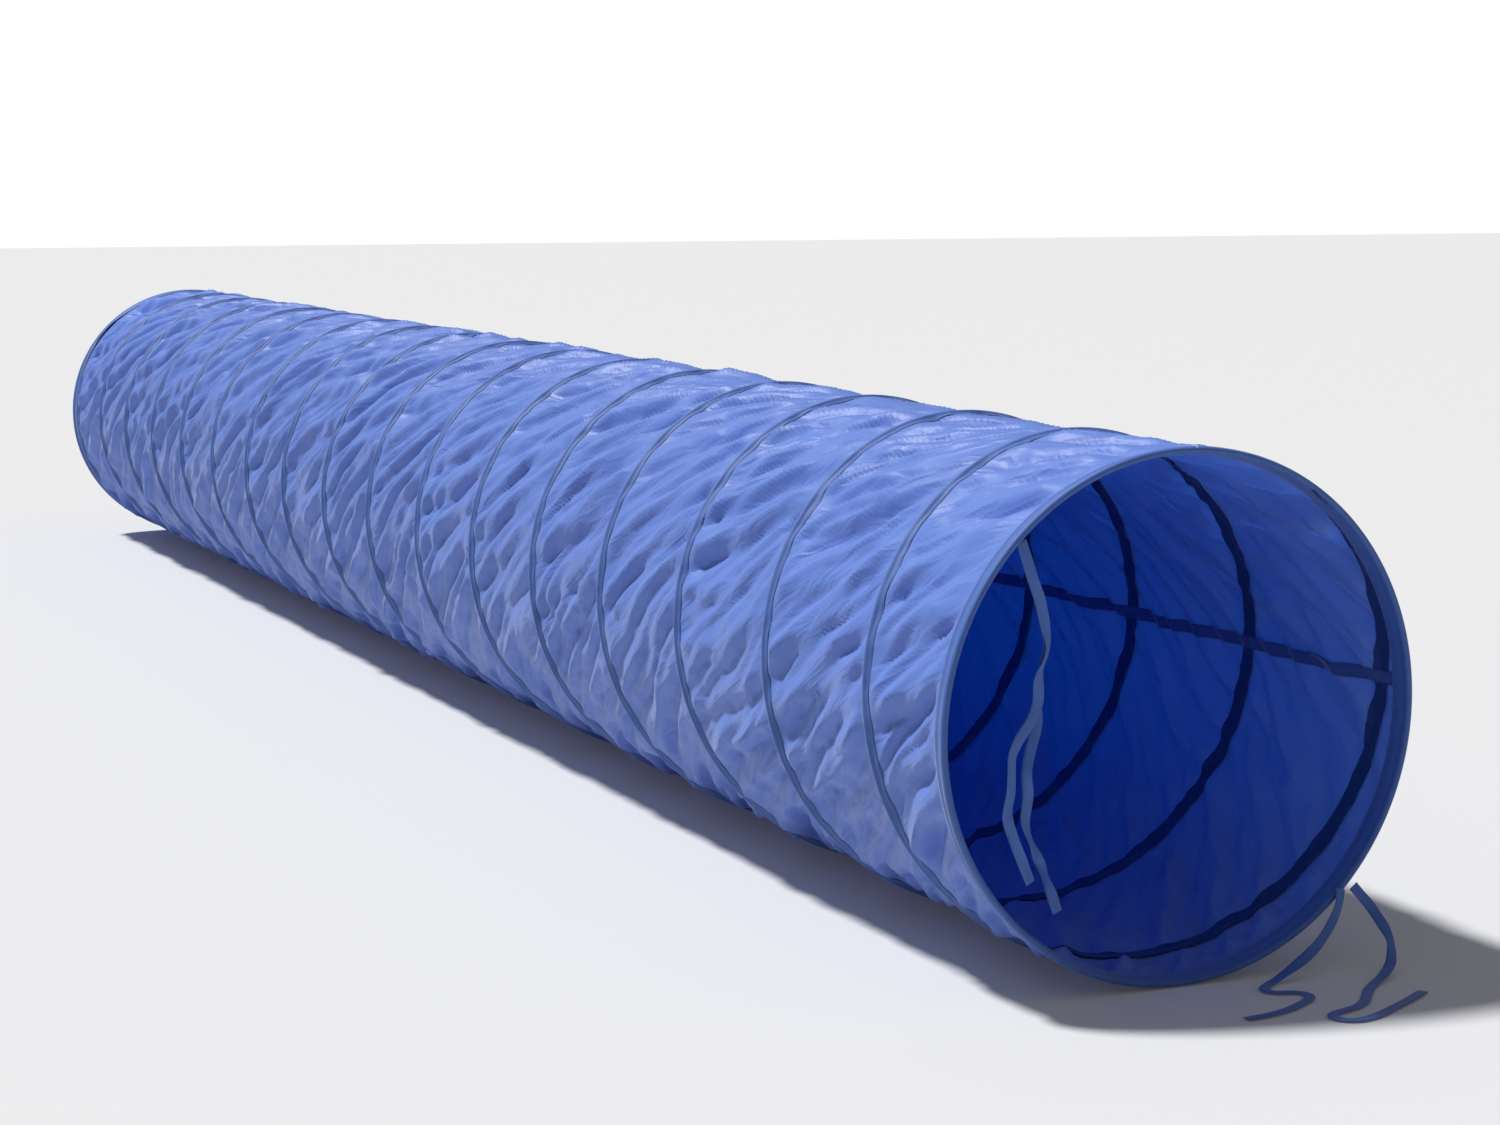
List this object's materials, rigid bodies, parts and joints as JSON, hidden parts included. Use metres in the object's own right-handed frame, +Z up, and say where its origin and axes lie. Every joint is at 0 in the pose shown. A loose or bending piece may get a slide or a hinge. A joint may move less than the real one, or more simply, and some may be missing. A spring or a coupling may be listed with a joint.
{
  "type": "agility tunnel",
  "caption": "Collapsible dog agility tunnel: thin cloth sleeve on a helical spring wire, with bound rims and ribbon ties, closing like an accordion.",
  "frame": {"origin": "on the floor, under the middle of the tunnel", "axes": "+Y runs along the tunnel from the entrance with the ties to the far end, +Z is up"},
  "size_m": [0.5999, 4.8641, 0.6],
  "materials": {
    "spring_wire": "drawn spring steel wire",
    "crimp_sleeve": "crimped aluminium sleeve",
    "tunnel_cloth": "thin woven nylon with a satin sheen",
    "casing_tape": "woven nylon tape",
    "rim_tape": "woven nylon binding",
    "tie_ribbon": "woven nylon ribbon"
  },
  "bodies": {
    "entrance": {"end_ring_front": "spring_wire", "wire_crimp": "crimp_sleeve", "rim_binding_front": "rim_tape", "tie_upper_left": "tie_ribbon", "tie_upper_right": "tie_ribbon", "tie_lower_left": "tie_ribbon", "tie_lower_right": "tie_ribbon", "spring_turn_1": "spring_wire", "casing_turn_1": "casing_tape", "fabric_bay_1": "tunnel_cloth"},
    "turn_2": {"spring_turn_2": "spring_wire", "casing_turn_2": "casing_tape", "fabric_bay_2": "tunnel_cloth"},
    "turn_3": {"spring_turn_3": "spring_wire", "casing_turn_3": "casing_tape", "fabric_bay_3": "tunnel_cloth"},
    "turn_4": {"spring_turn_4": "spring_wire", "casing_turn_4": "casing_tape", "fabric_bay_4": "tunnel_cloth"},
    "turn_5": {"spring_turn_5": "spring_wire", "casing_turn_5": "casing_tape", "fabric_bay_5": "tunnel_cloth"},
    "turn_6": {"spring_turn_6": "spring_wire", "casing_turn_6": "casing_tape", "fabric_bay_6": "tunnel_cloth"},
    "turn_7": {"spring_turn_7": "spring_wire", "casing_turn_7": "casing_tape", "fabric_bay_7": "tunnel_cloth"},
    "turn_8": {"spring_turn_8": "spring_wire", "casing_turn_8": "casing_tape", "fabric_bay_8": "tunnel_cloth"},
    "turn_9": {"spring_turn_9": "spring_wire", "casing_turn_9": "casing_tape", "fabric_bay_9": "tunnel_cloth"},
    "turn_10": {"spring_turn_10": "spring_wire", "casing_turn_10": "casing_tape", "fabric_bay_10": "tunnel_cloth"},
    "turn_11": {"spring_turn_11": "spring_wire", "casing_turn_11": "casing_tape", "fabric_bay_11": "tunnel_cloth"},
    "turn_12": {"spring_turn_12": "spring_wire", "casing_turn_12": "casing_tape", "fabric_bay_12": "tunnel_cloth"},
    "turn_13": {"spring_turn_13": "spring_wire", "casing_turn_13": "casing_tape", "fabric_bay_13": "tunnel_cloth"},
    "turn_14": {"spring_turn_14": "spring_wire", "casing_turn_14": "casing_tape", "fabric_bay_14": "tunnel_cloth"},
    "turn_15": {"spring_turn_15": "spring_wire", "casing_turn_15": "casing_tape", "fabric_bay_15": "tunnel_cloth"},
    "turn_16": {"spring_turn_16": "spring_wire", "casing_turn_16": "casing_tape", "fabric_bay_16": "tunnel_cloth"},
    "turn_17": {"spring_turn_17": "spring_wire", "casing_turn_17": "casing_tape", "fabric_bay_17": "tunnel_cloth"},
    "far_end": {"end_ring_rear": "spring_wire", "rim_binding_rear": "rim_tape"}
  },
  "joints": [
    {"name": "collapse", "type": "slide", "parent": "entrance", "child": "turn_2", "axis": [0, -1, 0], "range_m": [0, 0.22471], "stiffness_N_per_m": 3.8, "deforming": ["spring_turn_1", "casing_turn_1", "fabric_bay_1"]},
    {"name": "close_turn_2", "type": "slide", "parent": "turn_2", "child": "turn_3", "axis": [0, -1, 0], "range_m": [0, 0.26593], "stiffness_N_per_m": 3.8, "deforming": ["spring_turn_2", "casing_turn_2", "fabric_bay_2"]},
    {"name": "close_turn_3", "type": "slide", "parent": "turn_3", "child": "turn_4", "axis": [0, -1, 0], "range_m": [0, 0.26593], "stiffness_N_per_m": 3.8, "deforming": ["spring_turn_3", "casing_turn_3", "fabric_bay_3"]},
    {"name": "close_turn_4", "type": "slide", "parent": "turn_4", "child": "turn_5", "axis": [0, -1, 0], "range_m": [0, 0.26593], "stiffness_N_per_m": 3.8, "deforming": ["spring_turn_4", "casing_turn_4", "fabric_bay_4"]},
    {"name": "close_turn_5", "type": "slide", "parent": "turn_5", "child": "turn_6", "axis": [0, -1, 0], "range_m": [0, 0.26593], "stiffness_N_per_m": 3.8, "deforming": ["spring_turn_5", "casing_turn_5", "fabric_bay_5"]},
    {"name": "close_turn_6", "type": "slide", "parent": "turn_6", "child": "turn_7", "axis": [0, -1, 0], "range_m": [0, 0.26593], "stiffness_N_per_m": 3.8, "deforming": ["spring_turn_6", "casing_turn_6", "fabric_bay_6"]},
    {"name": "close_turn_7", "type": "slide", "parent": "turn_7", "child": "turn_8", "axis": [0, -1, 0], "range_m": [0, 0.26593], "stiffness_N_per_m": 3.8, "deforming": ["spring_turn_7", "casing_turn_7", "fabric_bay_7"]},
    {"name": "close_turn_8", "type": "slide", "parent": "turn_8", "child": "turn_9", "axis": [0, -1, 0], "range_m": [0, 0.26593], "stiffness_N_per_m": 3.8, "deforming": ["spring_turn_8", "casing_turn_8", "fabric_bay_8"]},
    {"name": "close_turn_9", "type": "slide", "parent": "turn_9", "child": "turn_10", "axis": [0, -1, 0], "range_m": [0, 0.26593], "stiffness_N_per_m": 3.8, "deforming": ["spring_turn_9", "casing_turn_9", "fabric_bay_9"]},
    {"name": "close_turn_10", "type": "slide", "parent": "turn_10", "child": "turn_11", "axis": [0, -1, 0], "range_m": [0, 0.26593], "stiffness_N_per_m": 3.8, "deforming": ["spring_turn_10", "casing_turn_10", "fabric_bay_10"]},
    {"name": "close_turn_11", "type": "slide", "parent": "turn_11", "child": "turn_12", "axis": [0, -1, 0], "range_m": [0, 0.26593], "stiffness_N_per_m": 3.8, "deforming": ["spring_turn_11", "casing_turn_11", "fabric_bay_11"]},
    {"name": "close_turn_12", "type": "slide", "parent": "turn_12", "child": "turn_13", "axis": [0, -1, 0], "range_m": [0, 0.26593], "stiffness_N_per_m": 3.8, "deforming": ["spring_turn_12", "casing_turn_12", "fabric_bay_12"]},
    {"name": "close_turn_13", "type": "slide", "parent": "turn_13", "child": "turn_14", "axis": [0, -1, 0], "range_m": [0, 0.26593], "stiffness_N_per_m": 3.8, "deforming": ["spring_turn_13", "casing_turn_13", "fabric_bay_13"]},
    {"name": "close_turn_14", "type": "slide", "parent": "turn_14", "child": "turn_15", "axis": [0, -1, 0], "range_m": [0, 0.26593], "stiffness_N_per_m": 3.8, "deforming": ["spring_turn_14", "casing_turn_14", "fabric_bay_14"]},
    {"name": "close_turn_15", "type": "slide", "parent": "turn_15", "child": "turn_16", "axis": [0, -1, 0], "range_m": [0, 0.26593], "stiffness_N_per_m": 3.8, "deforming": ["spring_turn_15", "casing_turn_15", "fabric_bay_15"]},
    {"name": "close_turn_16", "type": "slide", "parent": "turn_16", "child": "turn_17", "axis": [0, -1, 0], "range_m": [0, 0.26593], "stiffness_N_per_m": 3.8, "deforming": ["spring_turn_16", "casing_turn_16", "fabric_bay_16"]},
    {"name": "close_turn_17", "type": "slide", "parent": "turn_17", "child": "far_end", "axis": [0, -1, 0], "range_m": [0, 0.22472], "stiffness_N_per_m": 3.8, "deforming": ["spring_turn_17", "casing_turn_17", "fabric_bay_17"]}
  ],
  "couplings": [
    {"joint": "close_turn_2", "follows": "collapse", "ratio": 1.1834},
    {"joint": "close_turn_3", "follows": "collapse", "ratio": 1.1834},
    {"joint": "close_turn_4", "follows": "collapse", "ratio": 1.1834},
    {"joint": "close_turn_5", "follows": "collapse", "ratio": 1.1834},
    {"joint": "close_turn_6", "follows": "collapse", "ratio": 1.1834},
    {"joint": "close_turn_7", "follows": "collapse", "ratio": 1.1834},
    {"joint": "close_turn_8", "follows": "collapse", "ratio": 1.1834},
    {"joint": "close_turn_9", "follows": "collapse", "ratio": 1.1834},
    {"joint": "close_turn_10", "follows": "collapse", "ratio": 1.1834},
    {"joint": "close_turn_11", "follows": "collapse", "ratio": 1.1834},
    {"joint": "close_turn_12", "follows": "collapse", "ratio": 1.1834},
    {"joint": "close_turn_13", "follows": "collapse", "ratio": 1.1834},
    {"joint": "close_turn_14", "follows": "collapse", "ratio": 1.1834},
    {"joint": "close_turn_15", "follows": "collapse", "ratio": 1.1834},
    {"joint": "close_turn_16", "follows": "collapse", "ratio": 1.1834},
    {"joint": "close_turn_17", "follows": "collapse", "ratio": 1}
  ]
}
